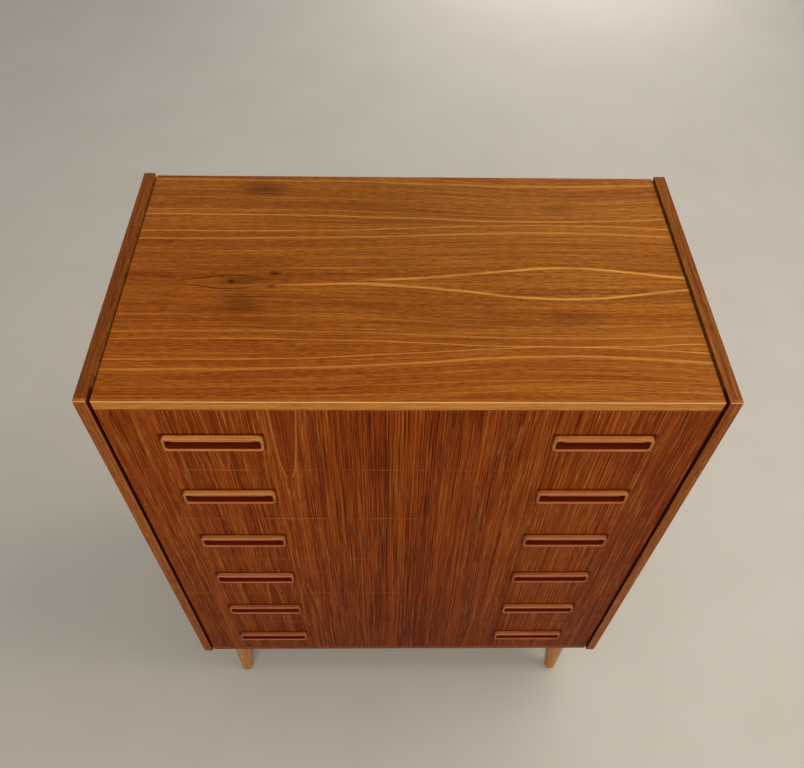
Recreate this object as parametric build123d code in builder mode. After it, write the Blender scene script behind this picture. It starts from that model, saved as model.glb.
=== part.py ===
"""Tall chest of drawers: six grain-matched drawers in a plain case on four round tapered legs.

Millimetres. +Z is up, the floor is z = 0, the front faces -Y, and x = 0, y = 0 is the middle of the
whole chest, pulls included.
"""

from build123d import *
import os

# ---------------------------------------------------------------- driving dimensions

# Case
WIDTH = 780.0
CASE_DEPTH = 426.0
CASE_HEIGHT = 829.0
LEG_HEIGHT = 155.0
SIDE_THICKNESS = 16.0
SIDE_LIPPING = 5.0           # solid strip on the front edge of each side
EDGE_ROUNDING = 0.8          # eased arrises on show

# Top and bottom panels
TOP_DROP = 4.0               # the sides stand this much above the top
TOP_THICKNESS = 15.0
TOP_LIPPING = 5.0
BOTTOM_THICKNESS = 12.0
BOTTOM_LIPPING = 5.0
FRONT_INSET = 3.0            # the sides stand this much in front of the lippings and fronts
SHADOW_GAP = 2.4             # groove between the sides and the top, lippings and fronts
SHADOW_DEPTH = 4.0
TONGUE = 6.0                 # tongue of the top and bottom panels in the sides
TONGUE_THICKNESS = 6.0

# Back panel
BACK_THICKNESS = 5.0
BACK_REBATE = 8.0

# Drawers
DRAWERS = 6
PITCH = 132.8
SEAM = 1.0                   # gap between one front and the next
FRONT_THICKNESS = 20.0
FRONT_ARRIS = 0.4
BOX_LIFT = 8.0               # lower edge of the drawer side above that of the front
BOX_HEIGHT = 108.0
BOX_SIDE = 12.0
BOX_LENGTH = 382.0           # from the back of the front to the end of the drawer side
BOX_BACK_HEIGHT = 88.0
BOX_BOTTOM = 4.0
BOTTOM_GROOVE_HEIGHT = 8.0   # bottom groove above the lower edge of the drawer side
BOTTOM_GROOVE_DEPTH = 5.0
BOTTOM_PLAY = 0.5

# Half-blind dovetails at the front corners
TAILS = (26.0, 54.0, 82.0)   # middle of each tail above the lower edge of the drawer side
TAIL_LENGTH = 12.0
TAIL_NECK = 19.0
TAIL_END = 23.0

# Runners
RUNNER_HEIGHT = 14.0
RUNNER_THICKNESS = 8.5
RUNNER_PLAY = 0.4
RUNNER_LENGTH = 376.0
RUNNER_END_GAP = 0.3
GROOVE_DEPTH = 7.0

# Ring pulls
PULL_CENTRE = 243.25         # from the middle of the front to the middle of each pull
PULL_LENGTH = 125.5
PULL_HEIGHT = 27.0
PULL_CORNER = 6.0
PULL_PROUD = 6.0             # ring in front of the drawer front
PULL_ROUNDING = 1.4
COLLAR_LENGTH = 123.5        # part of the pull that is let into the front
COLLAR_HEIGHT = 25.0
COLLAR_CORNER = 5.0
COLLAR_PLAY = 0.1
MORTISE_DEPTH = 17.0
WEB = 2.5                    # floor behind the finger hollow
HOLLOW_LENGTH = 119.1
HOLLOW_HEIGHT = 20.6
HOLLOW_CORNER = 4.0
HOLLOW_ROUNDING = 1.0
BAR_DEPTH = 7.5              # top bar, front to back
BAR_HEIGHT = 5.0             # top bar at its ends
LIP_DROP = 4.0               # the finger lip hangs this much lower in the middle
LIP_SETBACK = 0.4            # lip behind the face of the bar
LIP_END = 8.0                # from the end of the hollow to the start of the lip
LIP_RUN = 5.0                # length in which the lip comes down
LIP_ROUNDING = 3.8

# Legs
LEG_TOP_RADIUS = 21.0
LEG_FOOT_RADIUS = 11.0
LEG_TOP_X = 321.0
LEG_TOP_INSET = 31.0         # axis behind the front of the case, at the top
LEG_SPLAY = 8.0              # outwards in X and in Y, top to foot
LEG_FOOT_ROUNDING = 1.5

# Fixings
BOLT_RADIUS = 4.0
BOLT_IN_LEG = 30.0
BOLT_CLEARANCE = 0.1
NUT_FLANGE_RADIUS = 11.0
NUT_FLANGE = 1.5
NUT_BARREL_RADIUS = 5.5
NUT_BARREL = 9.0
SCREW_RADIUS = 1.7
SCREW_HEAD_RADIUS = 3.3
SCREW_HEAD = 1.9
SCREW_CLEARANCE = 0.1
RUNNER_SCREW_LENGTH = 20.0
RUNNER_SCREW_INSET = 40.0    # from each end of the runner
BACK_SCREW_LENGTH = 16.0

# ---------------------------------------------------------------- derived dimensions

HEIGHT = LEG_HEIGHT + CASE_HEIGHT
PULL_BEYOND_CASE = PULL_PROUD - FRONT_INSET
DEPTH = CASE_DEPTH + PULL_BEYOND_CASE
CASE_FRONT = PULL_BEYOND_CASE - DEPTH / 2
CASE_BACK = DEPTH / 2
FACE = CASE_FRONT + FRONT_INSET
FRONT_BACK = FACE + FRONT_THICKNESS

HALF = WIDTH / 2
INNER = HALF - SIDE_THICKNESS
SIDE_START = CASE_FRONT + SIDE_LIPPING
MOUTH_HEIGHT = (PULL_HEIGHT + HOLLOW_HEIGHT) / 2 - BAR_HEIGHT
MOUTH_RISE = (MOUTH_HEIGHT - HOLLOW_HEIGHT) / 2

TOP_UPPER = HEIGHT - TOP_DROP
TOP_LOWER = TOP_UPPER - TOP_THICKNESS
BOTTOM_UPPER = LEG_HEIGHT + BOTTOM_THICKNESS
PANEL_BACK = CASE_BACK - BACK_THICKNESS

FRONT_WIDTH = 2 * (INNER - SHADOW_GAP)
FRONT_HEIGHT = PITCH - SEAM
BOX_OUTER = FRONT_WIDTH / 2
BOX_INNER = BOX_OUTER - BOX_SIDE
BOX_BACK = FRONT_BACK + BOX_LENGTH
RUNNER_START = FRONT_BACK + RUNNER_END_GAP
RUNNER_MID = BOX_LIFT + BOX_HEIGHT / 2
RUNNER_SCREWS = (
    RUNNER_START + RUNNER_SCREW_INSET,
    RUNNER_START + RUNNER_LENGTH - RUNNER_SCREW_INSET,
)


def drawer_base(number):
    """Height of the lower edge of a drawer front; drawer 1 is the top one."""
    return TOP_LOWER - number * PITCH


BASES = [drawer_base(number) for number in range(1, DRAWERS + 1)]

LEG_TOPS = {
    "leg_front_left": (-LEG_TOP_X, CASE_FRONT + LEG_TOP_INSET),
    "leg_front_right": (LEG_TOP_X, CASE_FRONT + LEG_TOP_INSET),
    "leg_back_left": (-LEG_TOP_X, CASE_BACK - LEG_TOP_INSET),
    "leg_back_right": (LEG_TOP_X, CASE_BACK - LEG_TOP_INSET),
}

SIDE_SCREW_X = INNER + BACK_REBATE / 2
BACK_SCREWS = [(x, z) for x in (-SIDE_SCREW_X, SIDE_SCREW_X) for z in (220.0, 400.0, 580.0, 760.0, 930.0)]
BACK_SCREWS += [(x, LEG_HEIGHT + BOTTOM_THICKNESS / 2) for x in (-240.0, 0.0, 240.0)]
BACK_SCREWS += [(x, TOP_LOWER + BACK_REBATE / 2) for x in (-240.0, 0.0, 240.0)]


# ---------------------------------------------------------------- planes and small tools

def facing_front(y, x=0.0, z=0.0):
    """Plane that faces -Y: local x is +X, local y is +Z."""
    return Plane(origin=(x, y, z), x_dir=(1, 0, 0), z_dir=(0, -1, 0))


def facing_back(y, x=0.0, z=0.0):
    """Plane that faces +Y: local x is -X, local y is +Z."""
    return Plane(origin=(x, y, z), x_dir=(-1, 0, 0), z_dir=(0, 1, 0))


def facing_right(x, y=0.0, z=0.0):
    """Plane that faces +X: local x is +Y, local y is +Z."""
    return Plane(origin=(x, y, z), x_dir=(0, 1, 0), z_dir=(1, 0, 0))


def write(piece, name):
    """Label a finished piece and write it as its own STEP file."""
    piece.label = name
    export_step(piece, f"parts/{name}.step")


os.makedirs("parts", exist_ok=True)

# ---------------------------------------------------------------- fixings, made once and placed later


def screw(length):
    """Countersunk wood screw: head at the origin, shank along -Z."""
    with BuildPart() as body:
        with BuildSketch(Plane.XZ):
            with BuildLine():
                Polyline(
                    (0, 0),
                    (SCREW_HEAD_RADIUS, 0),
                    (SCREW_RADIUS, -SCREW_HEAD),
                    (SCREW_RADIUS, 3 - length),
                    (0, -length),
                    close=True,
                )
            make_face()
        revolve(axis=Axis.Z)
    return body.part


def screw_hole(length):
    """Countersunk hole for one screw at the active locations, a little wider than the screw."""
    CounterSinkHole(
        radius=SCREW_RADIUS + SCREW_CLEARANCE,
        counter_sink_radius=SCREW_HEAD_RADIUS + SCREW_CLEARANCE,
        depth=length + SCREW_CLEARANCE,
        counter_sink_angle=80,
    )


def runner_screw_planes(side):
    """Where the runner screws stand on one side: at the inner face of each runner, facing inwards."""
    x = side * (INNER - RUNNER_THICKNESS)
    return [
        Plane(origin=(x, y, base + RUNNER_MID), x_dir=(0, 1, 0), z_dir=(-side, 0, 0))
        for base in BASES
        for y in RUNNER_SCREWS
    ]


BACK_SCREW_PLANES = [facing_back(CASE_BACK, x, z) for x, z in BACK_SCREWS]

runner_screw = screw(RUNNER_SCREW_LENGTH)
with BuildPart() as runner_screws:
    with Locations(*runner_screw_planes(-1), *runner_screw_planes(1)):
        add(runner_screw)
write(runner_screws.part, "runner_screws")

back_screw = screw(BACK_SCREW_LENGTH)
with BuildPart() as back_panel_screws:
    with Locations(*BACK_SCREW_PLANES):
        add(back_screw)
write(back_panel_screws.part, "back_panel_screws")

# ---------------------------------------------------------------- case

for name, side in (("left", -1), ("right", 1)):
    middle = side * (HALF - SIDE_THICKNESS / 2)

    with BuildPart() as side_panel:
        with BuildSketch(Plane.XY.offset(LEG_HEIGHT)):
            with Locations((middle, (SIDE_START + CASE_BACK) / 2)):
                Rectangle(SIDE_THICKNESS, CASE_BACK - SIDE_START)
        extrude(amount=CASE_HEIGHT)
        # rebate for the back panel, stopped below the upper edge
        with BuildSketch(facing_back(CASE_BACK, side * (INNER + BACK_REBATE / 2), LEG_HEIGHT)):
            Rectangle(
                BACK_REBATE,
                TOP_LOWER + BACK_REBATE - LEG_HEIGHT,
                align=(Align.CENTER, Align.MIN),
            )
        extrude(amount=-BACK_THICKNESS, mode=Mode.SUBTRACT)
        # grooves for the tongues of the top and bottom panels
        with BuildSketch(facing_right(side * INNER)):
            with Locations(
                (0, TOP_LOWER + TOP_THICKNESS / 2),
                (0, LEG_HEIGHT + BOTTOM_THICKNESS / 2),
            ):
                Rectangle(CASE_DEPTH - 50, TONGUE_THICKNESS)
        extrude(amount=side * TONGUE, mode=Mode.SUBTRACT)
        # pilot holes
        with Locations(*runner_screw_planes(side)):
            Hole(radius=SCREW_RADIUS + SCREW_CLEARANCE, depth=RUNNER_SCREW_LENGTH + SCREW_CLEARANCE)
        with Locations(*[plane for plane in BACK_SCREW_PLANES if plane.origin.X * side > INNER]):
            screw_hole(BACK_SCREW_LENGTH)
    write(side_panel.part, f"side_panel_{name}")

    with BuildPart() as side_lipping:
        with BuildSketch(Plane.XY.offset(LEG_HEIGHT)):
            with Locations((middle, CASE_FRONT + SIDE_LIPPING / 2)):
                Rectangle(SIDE_THICKNESS, SIDE_LIPPING)
        extrude(amount=CASE_HEIGHT)
        fillet(side_lipping.faces().sort_by(Axis.Y)[0].edges(), radius=EDGE_ROUNDING)
    write(side_lipping.part, f"side_lipping_{name}")

with BuildPart() as top_panel:
    with BuildSketch(facing_front(FACE + TOP_LIPPING, z=TOP_LOWER)):
        Rectangle(2 * INNER, TOP_THICKNESS, align=(Align.CENTER, Align.MIN))
    extrude(amount=FACE + TOP_LIPPING - CASE_BACK)
    with BuildSketch(Plane.XY.offset(TOP_LOWER + (TOP_THICKNESS - TONGUE_THICKNESS) / 2)):
        Rectangle(2 * (INNER + TONGUE), CASE_DEPTH - 50)
    extrude(amount=TONGUE_THICKNESS)
    # shadow groove along both ends
    with BuildSketch(facing_front(FACE + TOP_LIPPING, z=TOP_UPPER)):
        with Locations((-INNER, 0), (INNER, 0)):
            Rectangle(2 * SHADOW_GAP, 2 * SHADOW_DEPTH)
    extrude(amount=FACE + TOP_LIPPING - CASE_BACK, mode=Mode.SUBTRACT)
    # rebate for the back panel
    with BuildSketch(facing_back(CASE_BACK, z=TOP_LOWER)):
        Rectangle(2 * INNER, BACK_REBATE, align=(Align.CENTER, Align.MIN))
    extrude(amount=-BACK_THICKNESS, mode=Mode.SUBTRACT)
    with Locations(*[plane for plane in BACK_SCREW_PLANES if plane.origin.Z > TOP_LOWER]):
        screw_hole(BACK_SCREW_LENGTH)
write(top_panel.part, "top_panel")

with BuildPart() as top_lipping:
    with BuildSketch(facing_front(FACE, z=TOP_LOWER)):
        Rectangle(FRONT_WIDTH, TOP_THICKNESS, align=(Align.CENTER, Align.MIN))
    extrude(amount=-TOP_LIPPING)
    fillet(top_lipping.faces().sort_by(Axis.Y)[0].edges(), radius=EDGE_ROUNDING)
write(top_lipping.part, "top_lipping")

with BuildPart() as bottom_panel:
    with BuildSketch(facing_front(FACE + BOTTOM_LIPPING, z=LEG_HEIGHT)):
        Rectangle(2 * INNER, BOTTOM_THICKNESS, align=(Align.CENTER, Align.MIN))
    extrude(amount=FACE + BOTTOM_LIPPING - PANEL_BACK)
    with BuildSketch(Plane.XY.offset(LEG_HEIGHT + (BOTTOM_THICKNESS - TONGUE_THICKNESS) / 2)):
        Rectangle(2 * (INNER + TONGUE), CASE_DEPTH - 50)
    extrude(amount=TONGUE_THICKNESS)
    # seats for the tee nuts and the bolts of the legs
    with Locations(*[(x, y, BOTTOM_UPPER) for x, y in LEG_TOPS.values()]):
        CounterBoreHole(
            radius=NUT_BARREL_RADIUS + BOLT_CLEARANCE,
            counter_bore_radius=NUT_FLANGE_RADIUS + BOLT_CLEARANCE,
            counter_bore_depth=NUT_FLANGE,
            depth=NUT_FLANGE + NUT_BARREL,
        )
        Hole(radius=BOLT_RADIUS + BOLT_CLEARANCE)
    with Locations(*[plane for plane in BACK_SCREW_PLANES if plane.origin.Z < BOTTOM_UPPER]):
        screw_hole(BACK_SCREW_LENGTH)
write(bottom_panel.part, "bottom_panel")

with BuildPart() as bottom_lipping:
    with BuildSketch(facing_front(FACE, z=LEG_HEIGHT)):
        Rectangle(FRONT_WIDTH, BOTTOM_THICKNESS, align=(Align.CENTER, Align.MIN))
    extrude(amount=-BOTTOM_LIPPING)
    fillet(bottom_lipping.faces().sort_by(Axis.Y)[0].edges(), radius=EDGE_ROUNDING)
write(bottom_lipping.part, "bottom_lipping")

with BuildPart() as back_panel:
    with BuildSketch(facing_back(CASE_BACK, z=LEG_HEIGHT)):
        Rectangle(
            2 * (INNER + BACK_REBATE) - 0.4,
            TOP_LOWER + BACK_REBATE - LEG_HEIGHT - 0.2,
            align=(Align.CENTER, Align.MIN),
        )
    extrude(amount=-BACK_THICKNESS)
    with Locations(*BACK_SCREW_PLANES):
        screw_hole(BACK_SCREW_LENGTH)
write(back_panel.part, "back_panel")

# Runners: the ends at the front stop the drawers, a hair behind the drawer fronts
with BuildPart() as drawer_runners:
    for side in (-1, 1):
        for base in BASES:
            with BuildSketch(facing_front(RUNNER_START, side * INNER, base + RUNNER_MID)):
                with Locations((-side * RUNNER_THICKNESS / 2, 0)):
                    Rectangle(RUNNER_THICKNESS, RUNNER_HEIGHT)
            extrude(amount=-RUNNER_LENGTH)
    with Locations(*runner_screw_planes(-1), *runner_screw_planes(1)):
        screw_hole(RUNNER_SCREW_LENGTH)
write(drawer_runners.part, "drawer_runners")

# ---------------------------------------------------------------- legs

TAPER = (LEG_TOP_RADIUS - LEG_FOOT_RADIUS) / LEG_HEIGHT
LEG_SPARE = 12.0             # cut away again where the leg meets the case and the floor

for name, (top_x, top_y) in LEG_TOPS.items():
    foot_x = top_x + LEG_SPLAY * (1 if top_x > 0 else -1)
    foot_y = top_y + LEG_SPLAY * (1 if top_y > 0 else -1)
    rise = Vector(top_x - foot_x, top_y - foot_y, LEG_HEIGHT)
    along = rise.normalized()
    with BuildPart() as leg:
        with Locations(Plane(origin=Vector(foot_x, foot_y, 0) - along * LEG_SPARE, z_dir=along)):
            Cone(
                bottom_radius=LEG_FOOT_RADIUS - TAPER * LEG_SPARE,
                top_radius=LEG_TOP_RADIUS + TAPER * LEG_SPARE,
                height=rise.length + 2 * LEG_SPARE,
                align=(Align.CENTER, Align.CENTER, Align.MIN),
            )
        split(bisect_by=Plane.XY.offset(LEG_HEIGHT), keep=Keep.BOTTOM)
        split(bisect_by=Plane.XY, keep=Keep.TOP)
        fillet(leg.edges().group_by(Axis.Z)[0], radius=LEG_FOOT_ROUNDING)
        with Locations((top_x, top_y, LEG_HEIGHT)):
            Hole(radius=BOLT_RADIUS + BOLT_CLEARANCE, depth=BOLT_IN_LEG + BOLT_CLEARANCE)
    write(leg.part, name)

with BuildPart() as leg_bolts:
    with BuildSketch(Plane.XY.offset(LEG_HEIGHT - BOLT_IN_LEG)):
        with Locations(*LEG_TOPS.values()):
            Circle(BOLT_RADIUS)
    extrude(amount=BOLT_IN_LEG + BOTTOM_THICKNESS - 0.5)
    chamfer(leg_bolts.edges().filter_by(GeomType.CIRCLE), length=0.8)
write(leg_bolts.part, "leg_bolts")

with BuildPart() as leg_tee_nuts:
    with BuildSketch(Plane.XY.offset(BOTTOM_UPPER - NUT_FLANGE)):
        with Locations(*LEG_TOPS.values()):
            Circle(NUT_FLANGE_RADIUS)
    extrude(amount=NUT_FLANGE)
    with BuildSketch(Plane.XY.offset(BOTTOM_UPPER - NUT_FLANGE - NUT_BARREL)):
        with Locations(*LEG_TOPS.values()):
            Circle(NUT_BARREL_RADIUS)
    extrude(amount=NUT_BARREL)
    with Locations(*[(x, y, BOTTOM_UPPER) for x, y in LEG_TOPS.values()]):
        Hole(radius=BOLT_RADIUS + BOLT_CLEARANCE)
write(leg_tee_nuts.part, "leg_tee_nuts")

# ---------------------------------------------------------------- drawers


def tail(middle):
    """One dovetail on the active sketch of a drawer corner: it widens towards the front."""
    Polygon(
        (FRONT_BACK, middle - TAIL_NECK / 2),
        (FRONT_BACK, middle + TAIL_NECK / 2),
        (FRONT_BACK - TAIL_LENGTH, middle + TAIL_END / 2),
        (FRONT_BACK - TAIL_LENGTH, middle - TAIL_END / 2),
        align=None,
    )


for number, base in enumerate(BASES, start=1):
    box_base = base + BOX_LIFT
    pull_z = base + FRONT_HEIGHT / 2
    floor_z = box_base + BOTTOM_GROOVE_HEIGHT

    with BuildPart() as drawer_front:
        with BuildSketch(facing_front(FACE, z=base)):
            Rectangle(FRONT_WIDTH, FRONT_HEIGHT, align=(Align.CENTER, Align.MIN))
        extrude(amount=-FRONT_THICKNESS)
        chamfer(drawer_front.faces().sort_by(Axis.Y)[0].edges(), length=FRONT_ARRIS)
        # mortises for the pulls
        with BuildSketch(facing_front(FACE, z=pull_z)):
            with Locations((-PULL_CENTRE, 0), (PULL_CENTRE, 0)):
                RectangleRounded(
                    COLLAR_LENGTH + 2 * COLLAR_PLAY,
                    COLLAR_HEIGHT + 2 * COLLAR_PLAY,
                    COLLAR_CORNER + COLLAR_PLAY,
                )
        extrude(amount=-MORTISE_DEPTH, mode=Mode.SUBTRACT)
        # sockets of the dovetails
        for side in (-1, 1):
            with BuildSketch(facing_right(side * BOX_OUTER)):
                for middle in TAILS:
                    tail(box_base + middle)
            extrude(amount=-side * BOX_SIDE, mode=Mode.SUBTRACT)
        # stopped groove for the drawer bottom
        with BuildSketch(facing_back(FRONT_BACK, z=floor_z)):
            Rectangle(
                2 * (BOX_INNER + BOTTOM_GROOVE_DEPTH),
                BOX_BOTTOM,
                align=(Align.CENTER, Align.MIN),
            )
        extrude(amount=-BOTTOM_GROOVE_DEPTH, mode=Mode.SUBTRACT)
    write(drawer_front.part, f"drawer_{number}_front")

    for name, side in (("left", -1), ("right", 1)):
        with BuildPart() as drawer_side:
            with BuildSketch(facing_right(side * BOX_INNER)):
                with Locations((FRONT_BACK, box_base)):
                    Rectangle(BOX_LENGTH, BOX_HEIGHT, align=(Align.MIN, Align.MIN))
                for middle in TAILS:
                    tail(box_base + middle)
            extrude(amount=side * BOX_SIDE)
            # runner groove in the outer face
            with BuildSketch(facing_right(side * BOX_OUTER)):
                with Locations((FRONT_BACK, base + RUNNER_MID)):
                    Rectangle(
                        BOX_LENGTH,
                        RUNNER_HEIGHT + 2 * RUNNER_PLAY,
                        align=(Align.MIN, Align.CENTER),
                    )
            extrude(amount=-side * GROOVE_DEPTH, mode=Mode.SUBTRACT)
            # groove for the drawer bottom in the inner face
            with BuildSketch(facing_right(side * BOX_INNER)):
                with Locations((FRONT_BACK, floor_z)):
                    Rectangle(BOX_LENGTH, BOX_BOTTOM, align=(Align.MIN, Align.MIN))
            extrude(amount=side * BOTTOM_GROOVE_DEPTH, mode=Mode.SUBTRACT)
        write(drawer_side.part, f"drawer_{number}_side_{name}")

    with BuildPart() as drawer_back:
        with BuildSketch(facing_back(BOX_BACK, z=floor_z + BOX_BOTTOM)):
            Rectangle(2 * BOX_INNER, BOX_BACK_HEIGHT, align=(Align.CENTER, Align.MIN))
        extrude(amount=-BOX_SIDE)
    write(drawer_back.part, f"drawer_{number}_back")

    with BuildPart() as drawer_bottom:
        with BuildSketch(Plane.XY.offset(floor_z)):
            with Locations((0, FRONT_BACK - BOTTOM_GROOVE_DEPTH + BOTTOM_PLAY)):
                Rectangle(
                    2 * (BOX_INNER + BOTTOM_GROOVE_DEPTH - BOTTOM_PLAY),
                    BOX_LENGTH + BOTTOM_GROOVE_DEPTH - BOTTOM_PLAY,
                    align=(Align.CENTER, Align.MIN),
                )
        extrude(amount=BOX_BOTTOM)
    write(drawer_bottom.part, f"drawer_{number}_bottom")

    for name, side in (("left", -1), ("right", 1)):
        pull_x = side * PULL_CENTRE
        with BuildPart() as handle:
            # ring on the face of the front
            with BuildSketch(facing_front(FACE, pull_x, pull_z)):
                RectangleRounded(PULL_LENGTH, PULL_HEIGHT, PULL_CORNER)
            extrude(amount=PULL_PROUD)
            fillet(handle.faces().sort_by(Axis.Y)[0].edges(), radius=PULL_ROUNDING)
            # collar in the mortise, with the finger hollow in it
            with BuildSketch(facing_front(FACE, pull_x, pull_z)):
                RectangleRounded(COLLAR_LENGTH, COLLAR_HEIGHT, COLLAR_CORNER)
            extrude(amount=-MORTISE_DEPTH)
            with BuildSketch(facing_front(FACE + MORTISE_DEPTH - WEB, pull_x, pull_z)):
                RectangleRounded(HOLLOW_LENGTH, HOLLOW_HEIGHT, HOLLOW_CORNER)
            extrude(amount=MORTISE_DEPTH - WEB + PULL_PROUD - BAR_DEPTH, mode=Mode.SUBTRACT)
            # way in below the bar
            with BuildSketch(facing_front(FACE - PULL_PROUD, pull_x, pull_z + MOUTH_RISE)):
                RectangleRounded(HOLLOW_LENGTH, MOUTH_HEIGHT, HOLLOW_CORNER)
            extrude(amount=-BAR_DEPTH, mode=Mode.SUBTRACT)
            mouth = handle.faces().sort_by(Axis.Y)[0].inner_wires()[0]
            fillet(mouth.edges(), radius=HOLLOW_ROUNDING)
            # rolled finger lip under the bar, run out at both ends
            bar_z = pull_z + PULL_HEIGHT / 2 - BAR_HEIGHT
            lip_half = HOLLOW_LENGTH / 2 - LIP_END
            with BuildSketch(facing_right(pull_x - lip_half, FACE - PULL_PROUD, bar_z)):
                with Locations((LIP_SETBACK, -LIP_DROP)):
                    lip = Rectangle(
                        BAR_DEPTH - LIP_SETBACK,
                        LIP_DROP + HOLLOW_ROUNDING + 0.6,
                        align=(Align.MIN, Align.MIN),
                    )
                fillet(lip.vertices().group_by(Axis.Z)[0].sort_by(Axis.Y)[0], radius=LIP_ROUNDING)
            extrude(amount=2 * lip_half)
            with BuildSketch(facing_front(FACE - PULL_PROUD, pull_x, bar_z)):
                with BuildLine():
                    drop = TangentArc(
                        (lip_half, 0),
                        (lip_half - LIP_RUN / 2, -LIP_DROP / 2),
                        tangent=(-1, 0),
                    )
                    run_out = TangentArc(
                        drop @ 1,
                        (lip_half - LIP_RUN, -LIP_DROP),
                        tangent=drop % 1,
                    )
                    Polyline(run_out @ 1, (lip_half, -LIP_DROP), drop @ 0)
                make_face()
                mirror(about=Plane.YZ)
            extrude(amount=-BAR_DEPTH, mode=Mode.SUBTRACT)
        write(handle.part, f"drawer_{number}_handle_{name}")
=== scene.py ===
"""Looks of the tall teak chest of drawers: veneered case, grain-matched fronts, ring pulls and legs."""
from math import cos, radians, sin

import bmesh
import bpy
from mathutils import Matrix, Vector


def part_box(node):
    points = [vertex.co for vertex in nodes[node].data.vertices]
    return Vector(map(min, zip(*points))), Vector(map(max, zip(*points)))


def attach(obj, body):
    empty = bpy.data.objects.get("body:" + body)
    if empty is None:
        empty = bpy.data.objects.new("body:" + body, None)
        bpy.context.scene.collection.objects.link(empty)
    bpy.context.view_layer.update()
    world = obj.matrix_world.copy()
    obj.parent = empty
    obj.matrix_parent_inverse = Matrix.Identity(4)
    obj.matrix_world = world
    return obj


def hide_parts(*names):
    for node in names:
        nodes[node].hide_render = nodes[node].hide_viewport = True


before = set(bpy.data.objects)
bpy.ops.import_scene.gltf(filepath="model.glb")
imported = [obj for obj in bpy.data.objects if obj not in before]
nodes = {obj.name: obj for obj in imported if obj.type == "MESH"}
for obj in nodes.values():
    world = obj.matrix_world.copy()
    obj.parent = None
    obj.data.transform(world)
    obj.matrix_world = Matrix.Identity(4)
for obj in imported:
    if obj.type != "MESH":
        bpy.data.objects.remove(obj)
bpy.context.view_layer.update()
DRAWERS = range(1, 7)

# ---------------------------------------------------------------- sizes read from the model

# the boxes, TOP_OF_SIDES, CASE_FRONT and WIDTH are in metres and the others in millimetres

left_side, right_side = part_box("side_panel_left"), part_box("side_panel_right")
side_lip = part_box("side_lipping_left")
TOP_OF_SIDES = left_side[1][2]
CASE_FRONT = side_lip[0][1]
WIDTH = right_side[1][0] - left_side[0][0]
fronts = [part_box(f"drawer_{number}_front") for number in DRAWERS]
FACE_Y = fronts[0][0][1] * 1000
FRONT_TOP = fronts[0][1][2] * 1000
FRONT_PITCH = (fronts[0][1][2] - fronts[1][1][2]) * 1000
FRONT_HALF = fronts[0][1][0] * 1000
pull_low, pull_high = (Vector(corner) * 1000 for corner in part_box("drawer_1_handle_right"))
PULL_X, PULL_FACE, PULL_Z = (pull_low.x + pull_high.x) / 2, pull_low.y, (pull_low.z + pull_high.z) / 2
PULL_HALF_X, PULL_HALF_Z = (pull_high.x - pull_low.x) / 2, (pull_high.z - pull_low.z) / 2
RIM = 3.2  # wall of the pull around its finger hollow
INNER_X = side_lip[1][0] * -1000


# ---------------------------------------------------------------- small tools

MATH, MIX, NOISE, RANGE = "ShaderNodeMath", "ShaderNodeMix", "ShaderNodeTexNoise", "ShaderNodeMapRange"
ADD, SUB, MUL, MAX = ({"operation": name} for name in ("ADD", "SUBTRACT", "MULTIPLY", "MAXIMUM"))
ABS, EXP, POWER = ({"operation": name} for name in ("ABSOLUTE", "EXPONENT", "POWER"))
MUL_ADD = {"operation": "MULTIPLY_ADD"}
CLAMPED_MUL = {"operation": "MULTIPLY", "use_clamp": True}
BLEND = {"data_type": "RGBA"}
DARKEN = {"data_type": "RGBA", "blend_type": "MULTIPLY"}
SMOOTH = {"interpolation_type": "SMOOTHSTEP"}


def linear(code):
    """An sRGB hex colour as linear RGBA."""
    parts = [int(code[i : i + 2], 16) / 255 for i in (1, 3, 5)]
    return tuple(c / 12.92 if c <= 0.04045 else ((c + 0.055) / 1.055) ** 2.4 for c in parts) + (1.0,)


def node(tree, kind, settings=None, *values, **named):
    """Adds a node: settings are its own properties, values and named go to its sockets."""
    made = tree.nodes.new(kind)
    for key, value in (settings or {}).items():
        setattr(made, key, value)
    # a colour Mix keeps its factor in socket 0 and its two colours in sockets 6 and 7
    order = [made.inputs[i] for i in (0, 6, 7)] if kind == MIX else made.inputs
    chosen = [(order[i], value) for i, value in enumerate(values) if value is not None]
    chosen += [(made.inputs[key.replace("_", " ")], value) for key, value in named.items()]
    for socket, value in chosen:
        if isinstance(value, bpy.types.Node):
            value = value.outputs[2 if value.bl_idname == MIX else 0]
        if isinstance(value, bpy.types.NodeSocket):
            tree.links.new(value, socket)
        else:
            socket.default_value = value
    return made


def material(name):
    """A new node material, with its tree, its shader and its Object coordinates in millimetres."""
    made = bpy.data.materials.new(name)
    made.use_nodes = True
    tree = made.node_tree
    tree.nodes.clear()
    shader = node(tree, "ShaderNodeBsdfPrincipled")
    node(tree, "ShaderNodeOutputMaterial", None, shader)
    place = node(tree, "ShaderNodeTexCoord").outputs["Object"]
    scaled = node(tree, "ShaderNodeVectorMath", {"operation": "SCALE"}, place, Scale=1000.0)
    axes = node(tree, "ShaderNodeSeparateXYZ", None, scaled).outputs
    return made, tree, shader, axes


def streaks(tree, along, across, through, length, width, detail=3.0, seed=0.0, sharp=0.5):
    """Noise drawn out along the grain: streaks about `length` by `width` millimetres, 0 to 1."""
    place = node(
        tree, "ShaderNodeCombineXYZ", None,
        node(tree, MATH, MUL, along, 1 / length),
        node(tree, MATH, MUL, across, 1 / width),
        node(tree, MATH, MUL, through, 1 / width),
    )
    return node(tree, NOISE, {"noise_dimensions": "4D"}, place, seed, 1.0, detail, sharp).outputs[0]


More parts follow.
